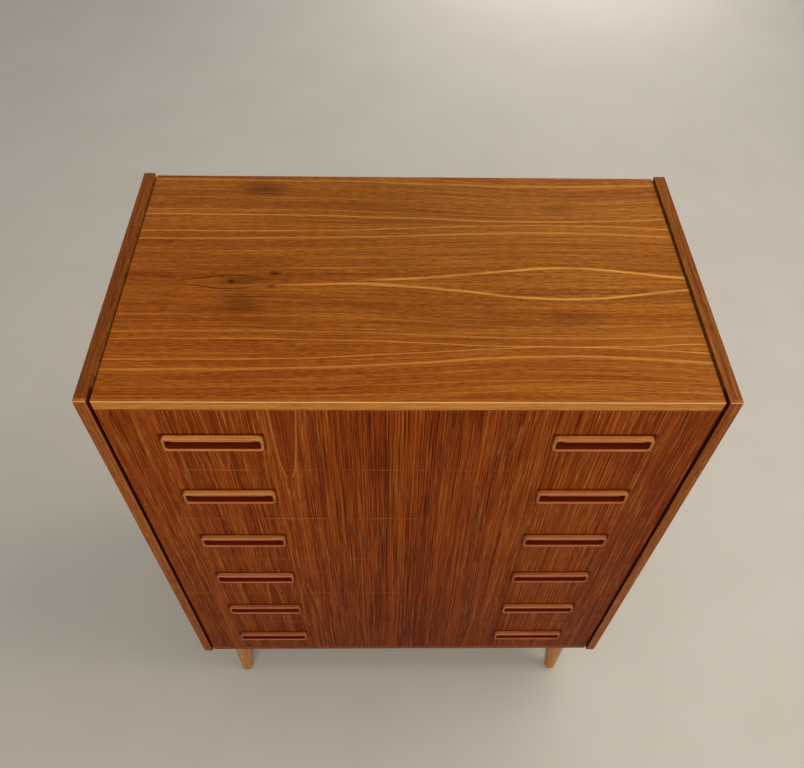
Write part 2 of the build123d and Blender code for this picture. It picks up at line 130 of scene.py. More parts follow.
def swell(tree, along, middle, half_length):
    """A smooth hump of height 1 along the grain, used where the growth rings bulge."""
    reach = node(tree, MATH, MUL, node(tree, MATH, SUB, along, middle), 1 / half_length)
    return node(tree, MATH, EXP, node(tree, MATH, MUL, node(tree, MATH, MUL, reach, reach), -1.0))


def ring_line(tree, across, at, hump, bulge, width):
    """One growth ring as a line about `width` mm wide, at `at` across the grain plus `bulge` on the hump."""
    middle = node(tree, MATH, MUL_ADD, hump, bulge, at)
    off = node(tree, MATH, ABS, node(tree, MATH, SUB, across, middle))
    return node(tree, RANGE, SMOOTH, off, 0.0, width, 1.0, 0.0)


def spot(tree, along, across, at, size):
    """A soft oval patch: 1 in its middle, 0 outside `size` (along, across)."""
    dx = node(tree, MATH, MUL, node(tree, MATH, SUB, along, at[0]), 1 / size[0])
    dy = node(tree, MATH, MUL, node(tree, MATH, SUB, across, at[1]), 1 / size[1])
    r2 = node(tree, MATH, MUL_ADD, dx, dx, node(tree, MATH, MUL, dy, dy))
    return node(tree, MATH, EXP, node(tree, MATH, MUL, r2, -1.5))


def stronger(tree, marks):
    """The strongest of several marks at each point. Each mark is (value, strength)."""
    best = None
    for value, strength in marks:
        weighted = node(tree, MATH, MUL, value, strength)
        best = weighted if best is None else node(tree, MATH, MAX, best, weighted)
    return best


def teak_ground(tree, grain, tones, seed, flow=0.0, coarse=1.0, bands=0.3, wander=8.0, dash=24.0, soft=0.22):
    """Ground colour of teak: broad bands, fibres, short dashes and open pores drawn out along the grain.

    `grain` holds the axes along, across and through it; `tones` are dark, middle and light hex colours.
    `flow` shifts the figure across the grain, `bands` is the share of the broad bands, `wander` how far the
    grain strays, `dash` the length of the dashes in mm, and a smaller `soft` gives more contrast.
    Returns the colour, the fibres and the pores, and the grain axes bent as the figure flows.
    """
    along, across, through = grain
    across = node(tree, MATH, ADD, across, flow)
    bend = streaks(tree, along, across, through, 240, 60, 1, seed + 3)
    across = node(tree, MATH, MUL_ADD, bend, wander, across)
    band = streaks(tree, along, across, through, 900, 20, 2, seed + 1)
    fibres = streaks(tree, along, across, through, max(150, 4 * dash), 2.6 * coarse, 4, seed + 5, 0.7)
    # fibre bundles 0.5 mm wide and pores 0.35 mm wide would not show: at `coarse` 1 they are drawn 1.5 mm
    # and 1.2 mm wide
    dashes = streaks(tree, along, across, through, dash, 1.5 * coarse, 2, seed + 7, 0.6)
    pore = streaks(tree, along, across, through, 11, 1.2 * coarse, 2, seed + 9, 0.6)
    pores = node(tree, RANGE, None, pore, 0.56, 0.70, 0.0, 1.0)
    finer = node(tree, MATH, MUL_ADD, fibres, 0.8, node(tree, MATH, MUL, dashes, 0.6))
    mixed = node(tree, MATH, MUL_ADD, band, bands, finer)
    middle = (bands + 1.4) / 2
    level = node(tree, RANGE, None, mixed, middle - soft, middle + soft, 0.0, 1.0)
    ramp = node(tree, "ShaderNodeValToRGB", None, level)
    ramp.color_ramp.interpolation = "B_SPLINE"
    ramp.color_ramp.elements[0].color = linear(tones[0])
    ramp.color_ramp.elements[1].color = linear(tones[2])
    ramp.color_ramp.elements.new(0.5).color = linear(tones[1])
    pored = node(tree, MIX, DARKEN, node(tree, MATH, MUL, pores, 0.4), ramp, linear("#a08672"))
    return pored, fibres, pores, (along, across, through)


def oiled(tree, shader, colour, fibres, pores, rough=0.42, gloss=0.1, depth=0.12):
    """Thin oil finish over open pores: fibres vary the low sheen and the pores stay a little open."""
    tree.links.new(colour.outputs[2 if colour.bl_idname == MIX else 0], shader.inputs["Base Color"])
    spread = node(tree, RANGE, None, fibres, 0.3, 0.7, rough + 0.05, rough - 0.05)
    dull = node(tree, MATH, MUL_ADD, pores, 0.18, spread)
    tree.links.new(dull.outputs[0], shader.inputs["Roughness"])
    shader.inputs["IOR"].default_value = 1.47
    # amber oil takes the blue out of what the surface reflects
    shader.inputs["Specular IOR Level"].default_value = gloss
    shader.inputs["Specular Tint"].default_value = linear("#ffb26b")
    height = node(tree, MATH, MUL_ADD, pores, -1.0, node(tree, MATH, MUL, fibres, 0.5))
    bump = node(tree, "ShaderNodeBump", None, Strength=0.35, Distance=depth / 1000, Height=height)
    tree.links.new(bump.outputs[0], shader.inputs["Normal"])


# painted shade: the dark red-black colour put into the shadow gaps beside the sides and the fronts
GAP_SHADE_COLOUR = "#3a0f08"
ALONG_X, ALONG_Y, ALONG_Z_FRONT, ALONG_Z_SIDE = (0, 1, 2), (1, 2, 0), (2, 0, 1), (2, 1, 0)

# ---------------------------------------------------------------- teak veneers

# Crown-cut teak veneer on the top: one long pointed eye in the figure right of the middle, a small one
# with three pin knots left of it, and thin pale growth rings that pinch together where the eye is widest.
top_veneer, tree, shader, axes = material("crown_cut_teak_veneer")
FIGURE_AXIS_Y = CASE_FRONT * 1000 + 201  # the heart of the figure lies 201 mm behind the front of the case
u, v = axes[0], node(tree, MATH, SUB, axes[1], FIGURE_AXIS_Y).outputs[0]
hump = swell(tree, u, 195, 225)
side = node(tree, MATH, ABS, v)
inner = node(tree, RANGE, SMOOTH, side, 0.0, 34.0, 0.0, -13.0)
outer = node(tree, RANGE, SMOOTH, side, 60.0, 150.0, 0.0, 36.0)
pull_apart = node(tree, MATH, MUL, node(tree, MATH, ADD, inner, outer), hump)
flow = node(tree, MATH, MUL, pull_apart, node(tree, MATH, {"operation": "SIGN"}, v))
ground, fibres, pores, (ua, va, wa) = teak_ground(
    tree, axes[:3], ("#602d09", "#8a4a14", "#b4782b"), 0.0, flow, 0.6, 0.35, 10.0, 14.0, 0.195
)
waver = node(tree, MATH, MUL, node(tree, MATH, SUB, streaks(tree, ua, va, wa, 90, 60, 2, 21), 0.5), 5.0)
vv = node(tree, MATH, ADD, v, waver)
broken = node(tree, RANGE, None, streaks(tree, ua, va, wa, 60, 8, 3, 31, 0.6), 0.36, 0.56, 0.6, 1.0)
rings = [  # across, bulge, width, strength
    (137, -13, 1.3, 0.9), (101, 16, 1.2, 0.9), (-99, -13, 1.2, 0.9), (-133, 21, 1.2, 0.9),
    (86, 15, 3.0, 0.5), (-86, -12, 2.6, 0.35), (-149, 22, 3.2, 0.55), (216, -12, 4.0, 0.45),
    (148, -13, 2.0, 0.35), (60, 22, 1.2, 0.35), (-58, -22, 1.2, 0.35), (-176, 12, 1.2, 0.4),
    (176, -12, 1.2, 0.35), (-190, 10, 1.0, 0.45),
]
lines = [(ring_line(tree, vv, at, hump, bulge, width), much) for at, bulge, width, much in rings]
eye = swell(tree, u, 205, 155)
right_of = node(tree, RANGE, SMOOTH, u, -90.0, -20.0, 0.0, 1.0)
for sign in (-1, 1):
    edge = ring_line(tree, vv, 3.0 * sign, eye, 26.0 * sign, 3.4)
    lines.append((node(tree, MATH, MUL, edge, right_of), 0.95))
tail = node(tree, MATH, MUL, ring_line(tree, vv, -6, swell(tree, u, -70, 60), 4, 3.2), swell(tree, u, -95, 85))
lines.append((tail, 1.0))
upper_tick = node(tree, MATH, MUL, ring_line(tree, vv, 27, hump, 0, 1.0), swell(tree, u, -110, 60))
lines.append((upper_tick, 0.8))
pale = node(tree, MATH, CLAMPED_MUL, stronger(tree, lines), broken)
lit = node(tree, MIX, BLEND, node(tree, MATH, CLAMPED_MUL, pale, 1.0), ground, linear("#cf9440"))
small_eye = swell(tree, u, -235, 48)
left_of = swell(tree, u, -240, 75)
dark_lines = []
for sign in (-1, 1):
    edge = ring_line(tree, vv, 1.5 * sign, small_eye, 11.5 * sign, 2.4)
    dark_lines.append((node(tree, MATH, MUL, edge, left_of), 0.8))
in_eye = node(tree, MATH, MUL, ring_line(tree, vv, 0, eye, 0, 26), eye)
vein = node(tree, RANGE, None, streaks(tree, u, vv, wa, 90, 1.8, 3, 41, 0.6), 0.5, 0.62, 0.0, 1.0)
dark_lines.append((node(tree, MATH, MUL, in_eye, vein), 0.6))
inmost = swell(tree, u, 228, 42)
for sign in (-1, 1):
    edge = ring_line(tree, vv, -2.0 + 0.5 * sign, inmost, 8.0 * sign, 1.4)
    dark_lines.append((node(tree, MATH, MUL, edge, inmost), 0.45))
ragged = node(tree, MATH, MUL_ADD, streaks(tree, u, v, wa, 9, 4, 2, 51, 0.7), 16.0, -8.0)
knot_u, knot_v = node(tree, MATH, ADD, u, ragged), node(tree, MATH, MUL_ADD, ragged, 0.4, v)
knots = [(-233, 1, 10, 7, 1.0), (-177, 16, 10, 6, 0.85), (-180, -8, 9, 4, 0.8), (-214, 12, 9, 3, 0.4)]
smudges = [
    (-217, -36, 34, 26, 0.5), (-210, 196, 44, 22, 0.6), (-200, 34, 60, 20, 0.22), (-222, 2, 40, 15, 0.45),
    (210, -60, 40, 16, 0.3), (215, 150, 30, 16, 0.25), (-10, 150, 200, 90, 0.22), (10, 0, 260, 170, 0.13),
]
dark_lines += [(spot(tree, knot_u, knot_v, (x, y), (a, b)), much) for x, y, a, b, much in knots + smudges]
knotted = node(tree, MIX, DARKEN, stronger(tree, dark_lines), lit, linear("#6f5a4a"))
# painted shade: the sheet is made redder and a little darker towards the left front corner, away from the light
to_corner = node(tree, MATH, MUL_ADD, v, -1.1, node(tree, MATH, MUL, u, -0.8))
corner_shade = node(tree, RANGE, SMOOTH, to_corner, -300.0, 460.0, 0.0, 0.75)
figured = node(tree, MIX, DARKEN, corner_shade, knotted, linear("#f3d3d0"))
oiled(tree, shader, figured, fibres, pores, 0.40, 0.12)


def arch(tree, x, height, tip, foot, middle, lean, half, width):
    """A pointed arch of the figure between heights `tip` and `foot`: its pale outline and its inside."""
    rise = node(tree, RANGE, None, height, tip, foot, 0.0, 1.0)
    centre = node(tree, MATH, MUL_ADD, rise, lean, middle)
    reach = node(tree, MATH, MUL, node(tree, MATH, POWER, rise, 0.36), half)
    off = node(tree, MATH, ABS, node(tree, MATH, SUB, x, centre))
    gap = node(tree, MATH, SUB, off, reach)
    fade = node(tree, RANGE, SMOOTH, rise, 0.0, 0.006, 0.0, 1.0)
    done = node(tree, RANGE, SMOOTH, rise, 0.75, 1.0, 1.0, 0.0)
    shown = node(tree, MATH, MUL, fade, done)
    outline = node(tree, RANGE, None, node(tree, MATH, ABS, gap), 0.0, width, 1.0, 0.0)
    inside = node(tree, RANGE, SMOOTH, gap, -1.5, 0.0, 1.0, 0.0)
    return node(tree, MATH, MUL, outline, shown), node(tree, MATH, MUL, inside, shown)


def pull_place(tree, axes, centre_x, centre_z):
    """How far a point is to the side of, and above, the middle of the pull nearest to it."""
    from_left = node(tree, MATH, ADD, axes[0], centre_x)
    from_right = node(tree, MATH, SUB, axes[0], centre_x)
    on_right = node(tree, MATH, {"operation": "GREATER_THAN"}, axes[0], 0.0)
    swap = node(tree, MATH, SUB, from_right, from_left)
    sideways = node(tree, MATH, MUL_ADD, on_right, swap, from_left)
    # eight pitches and a half lower, so that the remainder below is never negative
    above = node(tree, MATH, SUB, axes[2], centre_z - FRONT_PITCH * 8.5)
    wrapped = node(tree, MATH, {"operation": "MODULO"}, above, FRONT_PITCH)
    return sideways, node(tree, MATH, SUB, wrapped, FRONT_PITCH / 2)


# Knife-cut teak veneer on the fronts, one sheet for all six. The eye gets fine dark stripes in the
# middle, pale flecks at the sides, and a few pointed arches of plain redder wood.
front_veneer, tree, shader, axes = material("matched_teak_veneer")
x = axes[0]
height = node(tree, MATH, SUB, axes[2], TOP_OF_SIDES * 1000)
ground, fibres, pores, (ua, va, wa) = teak_ground(
    tree, (axes[2], axes[0], axes[1]), ("#501704", "#87310a", "#ba631c"), 60.0, 0.0, 0.5, 0.22, 6.0, 100.0, 0.145
)
from_middle = node(tree, MATH, ABS, x)
middle = node(tree, RANGE, SMOOTH, from_middle, 95.0, 170.0, 1.0, 0.45)
stripe = node(tree, RANGE, None, streaks(tree, ua, va, wa, 260, 1.0, 3, 71, 0.6), 0.51, 0.60, 0.0, 1.0)
stripes = node(tree, MATH, MUL, node(tree, MATH, MUL, stripe, middle), 0.95)
striped = node(tree, MIX, DARKEN, stripes, ground, linear("#8c6650"))
outwards = node(tree, RANGE, SMOOTH, from_middle, 60.0, 170.0, 0.45, 1.0)
fleck = node(tree, RANGE, None, streaks(tree, ua, va, wa, 75, 1.0, 3, 75, 0.7), 0.55, 0.65, 0.0, 1.0)
flecks = node(tree, MATH, MUL, node(tree, MATH, MUL, fleck, outwards), 0.85)
arches = [  # tip, foot, middle, lean, half width, line width, strength
    (-172, 90, -157, 9, 20, 1.5, 0.75),
    (-150, 90, -236, -6, 13, 1.5, 0.5),
    (-512, -640, -165, 2, 13, 2.4, 0.45),
    (-508, -620, -222, 2, 12, 2.4, 0.5),
    (-570, -700, 160, 0, 14, 2.2, 0.35),
]
outlines, insides = [], []
for tip, foot, at, lean, half, width, much in arches:
    outline, inside = arch(tree, x, height, tip, foot, at, lean, half, width)
    outlines.append((outline, much))
    insides.append((inside, much))
plain = node(tree, MATH, MUL, stronger(tree, insides), 0.85)
redder = node(tree, MIX, BLEND, plain, striped, linear("#7a2e0c"))
faint = node(tree, MATH, MUL, flecks, node(tree, MATH, SUB, 1.0, plain))
marks = node(tree, MATH, MAX, stronger(tree, outlines), faint)
marked = node(tree, MIX, BLEND, node(tree, MATH, MUL, marks, 0.85), redder, linear("#cc8a3e"))
# painted highlight: a broken pale line along the upper arris of each front, most of it on the left
below_top = node(tree, MATH, SUB, FRONT_TOP, axes[2])
below_edge = node(tree, MATH, {"operation": "MODULO"}, below_top, FRONT_PITCH)
arris = node(tree, RANGE, None, below_edge, 0.4, 1.2, 1.0, 0.0)
highlight_breakup = node(tree, RANGE, None, streaks(tree, x, height, wa, 45, 130, 3, 81, 0.6), 0.42, 0.58, 0.1, 1.0)
on_left = node(tree, RANGE, SMOOTH, x, -150.0, 150.0, 0.36, 0.12)
arris_highlight = node(tree, MATH, MUL, node(tree, MATH, MUL, arris, highlight_breakup), on_left)
arris_highlighted = node(tree, MIX, BLEND, arris_highlight, marked, linear("#c08548"))
# painted shade: a soft dark halo on the front where each pull meets it, stronger above it and on its right
from_pull_x, from_pull_z = pull_place(tree, axes, PULL_X + 0.8, PULL_Z + 1.4)
out_x = node(tree, MATH, SUB, node(tree, MATH, ABS, from_pull_x), PULL_HALF_X)
out_z = node(tree, MATH, SUB, node(tree, MATH, ABS, from_pull_z), PULL_HALF_Z)
beyond = node(tree, MATH, MAX, out_x, out_z)
pull_contact_shade = node(tree, RANGE, SMOOTH, beyond, 0.0, 5.0, 0.85, 0.0)
pull_shaded = node(tree, MIX, DARKEN, pull_contact_shade, arris_highlighted, linear("#6b3a30"))
# painted shade: the upright edges, beside the shadow gaps, are darkened with the gap colour
edge = node(tree, RANGE, None, from_middle, FRONT_HALF - 0.6, FRONT_HALF - 0.2, 0.0, 0.9)
gap_shaded = node(tree, MIX, BLEND, edge, pull_shaded, linear(GAP_SHADE_COLOUR))
# painted shade: the sheet darkens a little towards its foot, where less light falls
low = node(tree, RANGE, SMOOTH, axes[2], 780.0, 180.0, 0.0, 1.0)
figured = node(tree, MIX, DARKEN, low, gap_shaded, linear("#e6dcd6"))
oiled(tree, shader, figured, fibres, pores, 0.40, 0.03)


def painted_edge_highlight(tree, colour, pale, much):
    """Paints a highlight on the eased arrises, where the surface turns from one face to the next."""
    normal = node(tree, "ShaderNodeSeparateXYZ", None, node(tree, "ShaderNodeNewGeometry").outputs["Normal"])
    y, z = (node(tree, MATH, ABS, normal.outputs[i]) for i in (1, 2))
    slanted = node(tree, RANGE, SMOOTH, node(tree, MATH, MUL, y, z), 0.15, 0.45, 0.0, much)
    return node(tree, MIX, BLEND, slanted, colour, linear(pale))


def straight_wood(name, grain, tones, seed, rough=0.42, coarse=1.0, dash=24.0, gloss=0.1):
    """Straight-grained wood with no figure of its own, its grain along the first axis of `grain`."""
    made, tree, shader, axes = material(name)
    grain = tuple(axes[i] for i in grain)
    ground, fibres, pores, _ = teak_ground(tree, grain, tones, seed, 0.0, coarse, 0.3, 8.0, dash)
    oiled(tree, shader, ground, fibres, pores, rough, gloss)
    return made


def gap_shade_mask(tree, axes):
    """1 on the inner faces of the sides near their front, where shade is painted into the shadow gap."""
    inner = node(tree, RANGE, None, node(tree, MATH, ABS, axes[0]), INNER_X + 0.2, INNER_X + 0.7, 0.92, 0.0)
    near_front = node(tree, RANGE, None, axes[1], FACE_Y + 18.0, FACE_Y + 24.0, 1.0, 0.0)
    return node(tree, MATH, MUL, inner, near_front)


# Teak veneer on the sides, straight up and down; on their narrow top edges the grain runs front to back
side_veneer, tree, shader, axes = material("straight_teak_veneer")
facing = node(tree, "ShaderNodeSeparateXYZ", None, node(tree, "ShaderNodeNewGeometry").outputs["Normal"])
on_top = node(tree, MATH, {"operation": "GREATER_THAN"}, facing.outputs[2], 0.7)
x, y, z = axes[:3]
along = node(tree, MATH, MUL_ADD, on_top, node(tree, MATH, SUB, y, z), z)
across = node(tree, MATH, MUL_ADD, on_top, node(tree, MATH, SUB, x, y), y)
through = node(tree, MATH, MUL_ADD, on_top, node(tree, MATH, SUB, z, x), x)
ground, fibres, pores, (ua, va, wa) = teak_ground(
    tree, (along, across, through), ("#4f260d", "#7c431a", "#a0692f"), 110.0, 0.0, 1.0, 0.35, 14.0, 34.0
)
cathedral = node(tree, MATH, ABS, node(tree, MATH, SUB, va, 20.0))
heart = node(tree, RANGE, SMOOTH, cathedral, 30.0, 130.0, 0.55, 0.0)
vein = node(tree, RANGE, None, streaks(tree, ua, va, wa, 260, 5.0, 3, 117, 0.6), 0.50, 0.64, 0.0, 1.0)
veined = node(tree, MIX, DARKEN, node(tree, MATH, MUL, vein, heart), ground, linear("#8d7060"))
# painted shade: the top edge of the left side, further from the light, is made the darker and redder of the two
left_edge_shade = node(tree, MATH, MUL, node(tree, MATH, {"operation": "LESS_THAN"}, x, 0.0), on_top)
darker = node(tree, MIX, DARKEN, left_edge_shade, veined, linear("#e4d4d4"))
# painted shade: the inner faces of the sides are darkened where the shadow gap is
figured = node(tree, MIX, BLEND, gap_shade_mask(tree, axes), darker, linear(GAP_SHADE_COLOUR))
oiled(tree, shader, figured, fibres, pores, 0.40, 0.06)

# Rotary-cut teak veneer underneath, left dull
bottom_veneer = straight_wood("underside_teak_veneer", ALONG_X, ("#4a2814", "#6c4526", "#8c6440"), 120.0, 0.55)
# Solid teak strips on the edges, planed and oiled: the eye gets straight grain, and the side strips a painted
# highlight on their arrises
lower_lipping = straight_wood("solid_teak_lower_lipping", ALONG_X, ("#552609", "#7a3d17", "#9c5c2a"), 145.0)

side_lipping, tree, shader, axes = material("solid_teak_lipping")
grain = tuple(axes[i] for i in ALONG_Z_SIDE)
ground, fibres, pores, _ = teak_ground(tree, grain, ("#6c3010", "#985222", "#b97838"), 140.0, 0.0, 1.0)
# painted highlight along the eased arrises of the side strips
lit = painted_edge_highlight(tree, ground, "#dcb494", 0.85)
# painted shade: the lipping is darkened where it faces into the shadow gap
figured = node(tree, MIX, BLEND, gap_shade_mask(tree, axes), lit, linear(GAP_SHADE_COLOUR))
oiled(tree, shader, figured, fibres, pores, 0.38, 0.04)

# the strip on the front of the top is golden in front, and on top as brown as the veneer beside it
top_lipping, tree, shader, axes = material("golden_solid_teak")
grain = tuple(axes[i] for i in ALONG_X)
ground, fibres, pores, _ = teak_ground(tree, grain, ("#9c5520", "#c67e36", "#dc9a4a"), 130.0, 0.0, 1.0)
facing = node(tree, "ShaderNodeSeparateXYZ", None, node(tree, "ShaderNodeNewGeometry").outputs["Normal"])
on_top = node(tree, RANGE, None, facing.outputs[2], 0.85, 0.95, 0.0, 1.0)
browned = node(tree, MIX, DARKEN, on_top, ground, linear("#c0aca4"))
# painted highlight along the eased arrises of the strip
figured = painted_edge_highlight(tree, browned, "#f5cc80", 0.85)
oiled(tree, shader, figured, fibres, pores, 0.36, 0.14)

# Paler solid teak of the legs, turned and sanded to a low sheen
leg_teak = straight_wood(
    "turned_solid_teak", ALONG_Z_SIDE, ("#955a24", "#b97838", "#d39a55"), 150.0, 0.36, 1.0, 40.0, 0.25
)

# Solid teak of the pulls, routed and sanded by hand: some golden and some pinkish brown at random, with painted
# light making the upper rows more golden; their round arrises get a painted highlight, and the finger hollow is
# painted dark red-brown as shade
pull_teak, tree, shader, axes = material("shaped_solid_teak")
grain = tuple(axes[i] for i in ALONG_X)
golden, fibres, pores, _ = teak_ground(tree, grain, ("#984a1c", "#c47a34", "#dea058"), 160.0, 0.0, 0.8)
pinkish, _, _, _ = teak_ground(tree, grain, ("#702c18", "#9e5030", "#c07858"), 165.0, 0.0, 0.8)
board = node(tree, "ShaderNodeCombineXYZ", None, node(tree, MATH, MUL, axes[0], 0.004), 0.0,
             node(tree, MATH, MUL, axes[2], 0.012))
chance = node(tree, NOISE, {"noise_dimensions": "4D"}, board, 7.3, 1.0, 0.0)
# painted light: the pulls on the upper rows are made more golden
upper_rows_light = node(tree, RANGE, None, axes[2], 560.0, 900.0, -0.3, 0.55)
goldness = node(tree, MATH, {"operation": "ADD", "use_clamp": True}, chance, upper_rows_light)
body = node(tree, MIX, BLEND, goldness, pinkish, golden)
# painted highlight on the round arrises of the pulls
lit = painted_edge_highlight(tree, body, "#d48e70", 0.5)
# painted shade in the finger hollow: its mouth and the wall behind the bar are made dark red
from_middle_x, from_middle_z = pull_place(tree, axes, PULL_X, PULL_Z)
inside_x = node(tree, RANGE, None, node(tree, MATH, ABS, from_middle_x),
                PULL_HALF_X - RIM + 0.3, PULL_HALF_X - RIM + 1.0, 1.0, 0.0)
above_floor = node(tree, RANGE, None, from_middle_z,
                   RIM - PULL_HALF_Z - 0.9, RIM - PULL_HALF_Z - 0.3, 0.0, 1.0)
below_lip = node(tree, RANGE, None, from_middle_z, 1.0, 3.0, 1.0, 0.0)
behind_rim = node(tree, RANGE, SMOOTH, axes[1], PULL_FACE + 0.8, PULL_FACE + 2.6, 0.0, 0.9)
behind_bar = node(tree, RANGE, SMOOTH, axes[1], FACE_Y - 1.0, FACE_Y + 3.0, 0.0, 0.95)
mouth = node(tree, MATH, MUL, node(tree, MATH, MUL, inside_x, above_floor),
             node(tree, MATH, MUL, below_lip, behind_rim))
hollow = node(tree, MATH, MAX, mouth, behind_bar)
figured = node(tree, MIX, BLEND, hollow, lit, linear("#600402"))
oiled(tree, shader, figured, fibres, pores, 0.36, 0.05)

# Pale oak of the drawer boxes, sawn and sanded but not oiled: long open grain and almost no sheen
OAK = ("#9c7850", "#bd9768", "#d3b287")
oak_sides = straight_wood("sanded_oak_sides", ALONG_Y, OAK, 178.0, 0.62, 1.3, 60.0)
oak_backs = straight_wood("sanded_oak_backs", ALONG_X, OAK, 175.0, 0.62, 1.3, 60.0)
# Planed beech runners: close-grained, with the short darker flecks of the wood
beech = straight_wood("planed_beech", ALONG_Y, ("#a87a50", "#c4976b", "#d6ae87"), 180.0, 0.55, 0.9, 8.0)
# Birch plywood of the drawer bottoms and the darker stained sheet of the back, peeled so the grain is wide
plywood = straight_wood("birch_plywood", ALONG_X, ("#a8835a", "#c6a277", "#d8b98f"), 190.0, 0.62, 2.6, 90.0)
back_sheet = straight_wood("stained_plywood", ALONG_Z_FRONT, ("#7a5230", "#9a6d42", "#b4875a"), 195.0, 0.6, 2.6)

# Zinc-plated steel of screws, bolts and nuts: a grey sheen a little cloudy from handling
steel, tree, shader, axes = material("zinc_plated_steel")
place = node(tree, "ShaderNodeCombineXYZ", None, *axes)
cloudy = node(tree, NOISE, None, place, None, 0.35, 4.0, 0.6)
tint = node(tree, MIX, BLEND, cloudy, linear("#8a8d90"), linear("#b5b7b8"))
tree.links.new(tint.outputs[2], shader.inputs["Base Color"])
sheen = node(tree, RANGE, None, cloudy, 0.3, 0.7, 0.28, 0.46)
tree.links.new(sheen.outputs[0], shader.inputs["Roughness"])
shader.inputs["Metallic"].default_value = 1.0

LOOKS = {
    "side_panel_left": side_veneer, "side_panel_right": side_veneer,
    "side_lipping_left": side_lipping, "side_lipping_right": side_lipping,
    "top_panel": top_veneer, "top_lipping": top_lipping,
    "bottom_panel": bottom_veneer, "bottom_lipping": lower_lipping,
    "back_panel": back_sheet, "drawer_runners": beech,
    "runner_screws": steel, "back_panel_screws": steel, "leg_bolts": steel, "leg_tee_nuts": steel,
    "leg_front_left": leg_teak, "leg_front_right": leg_teak,
    "leg_back_left": leg_teak, "leg_back_right": leg_teak,
}
for number in DRAWERS:
    LOOKS[f"drawer_{number}_front"] = front_veneer
    LOOKS[f"drawer_{number}_back"] = oak_backs
    LOOKS[f"drawer_{number}_bottom"] = plywood
    for hand in ("left", "right"):
        LOOKS[f"drawer_{number}_side_{hand}"] = oak_sides
        LOOKS[f"drawer_{number}_handle_{hand}"] = pull_teak
for name, look in LOOKS.items():
    for slot in nodes[name].material_slots:
        slot.material = look

# ---------------------------------------------------------------- slotted screws, by Geometry Nodes


def screw_seats(name):
    """The head centre and the direction it faces, for each loose screw in a node of the model."""
    shape = bmesh.new()
    shape.from_mesh(nodes[name].data)
    bmesh.ops.remove_doubles(shape, verts=shape.verts, dist=1e-5)
    unseen, seats = set(shape.verts), []
    while unseen:
        screw, edge = [], [unseen.pop()]
        while edge:
            corner = edge.pop()
            screw.append(corner.co.copy())
            near = {link.other_vert(corner) for link in corner.link_edges} & unseen
            unseen -= near
            edge += near
        low = Vector([min(point[i] for point in screw) for i in range(3)])
        high = Vector([max(point[i] for point in screw) for i in range(3)])
        size, middle = high - low, (low + high) / 2
        axis = max(range(3), key=lambda i: size[i])
        line = Vector([float(i == axis) for i in range(3)])
        widest = max(screw, key=lambda point: (point - middle).cross(line).length)
        facing = line if (widest - middle)[axis] > 0 else -line
        seats.append((middle + facing * size[axis] / 2, facing))
    shape.free()
    return sorted(seats, key=lambda seat: tuple(seat[0]))


TIP_LENGTH, TIP_RADIUS, HEAD_SIDES = 0.003, 0.0003, 24
HALF_TURN = 3.14159265
screws = bpy.data.node_groups.new("slotted_screws", "GeometryNodeTree")
for name, kind in (
    ("Seats", "Geometry"), ("Head radius", "Float"), ("Head height", "Float"), ("Shank radius", "Float"),
    ("Length", "Float"), ("Slot width", "Float"), ("Slot depth", "Float"), ("Seed", "Int"), ("Steel", "Material"),
):
    screws.interface.new_socket(name, in_out="INPUT", socket_type="NodeSocket" + kind)
screws.interface.new_socket("Screws", in_out="OUTPUT", socket_type="NodeSocketGeometry")
given = node(screws, "NodeGroupInput").outputs
floor_radius = node(screws, MATH, SUB, given["Head radius"], given["Slot depth"])
half_slot = node(screws, MATH, MUL, given["Slot width"], 0.5)
start = node(screws, MATH, {"operation": "ARCSINE"},
             node(screws, MATH, {"operation": "DIVIDE"}, half_slot, floor_radius))
sweep = node(screws, MATH, MUL_ADD, start, -2.0, HALF_TURN)
arc = node(screws, "GeometryNodeCurveArc", {"mode": "RADIUS"}, Resolution=13, Radius=floor_radius,
           Start_Angle=start, Sweep_Angle=sweep)
cheek = node(screws, "GeometryNodeFillCurve", {"mode": "NGONS"},
             node(screws, "GeometryNodeSetSplineCyclic", None, arc, True, True))
down = node(screws, MATH, MUL, given["Slot depth"], -1.0)
low_cheek = node(screws, "GeometryNodeTransform", None, cheek,
                 Translation=node(screws, "ShaderNodeCombineXYZ", None, 0.0, 0.0, down))
risen = node(screws, "GeometryNodeExtrudeMesh", {"mode": "FACES"}, low_cheek,
             Offset=(0.0, 0.0, 1.0), Offset_Scale=given["Slot depth"], Individual=False)
flare = node(screws, MATH, {"operation": "DIVIDE"}, given["Head radius"], floor_radius)
place = node(screws, "GeometryNodeInputPosition")
flared = node(screws, "ShaderNodeVectorMath", {"operation": "MULTIPLY"}, place,
              node(screws, "ShaderNodeCombineXYZ", None, flare, flare, 1.0))
wedge = node(screws, "GeometryNodeSetPosition", None, risen, risen.outputs["Top"], flared)
under = node(screws, "GeometryNodeFlipFaces", None, low_cheek)
half_head = node(screws, "GeometryNodeJoinGeometry")
for part in (wedge, under):
    screws.links.new(part.outputs[0], half_head.inputs[0])
half_head = node(screws, "GeometryNodeMergeByDistance", None, half_head, True, 1e-6)
other_half = node(screws, "GeometryNodeTransform", None, half_head, Rotation=(0.0, 0.0, HALF_TURN))
cones = []
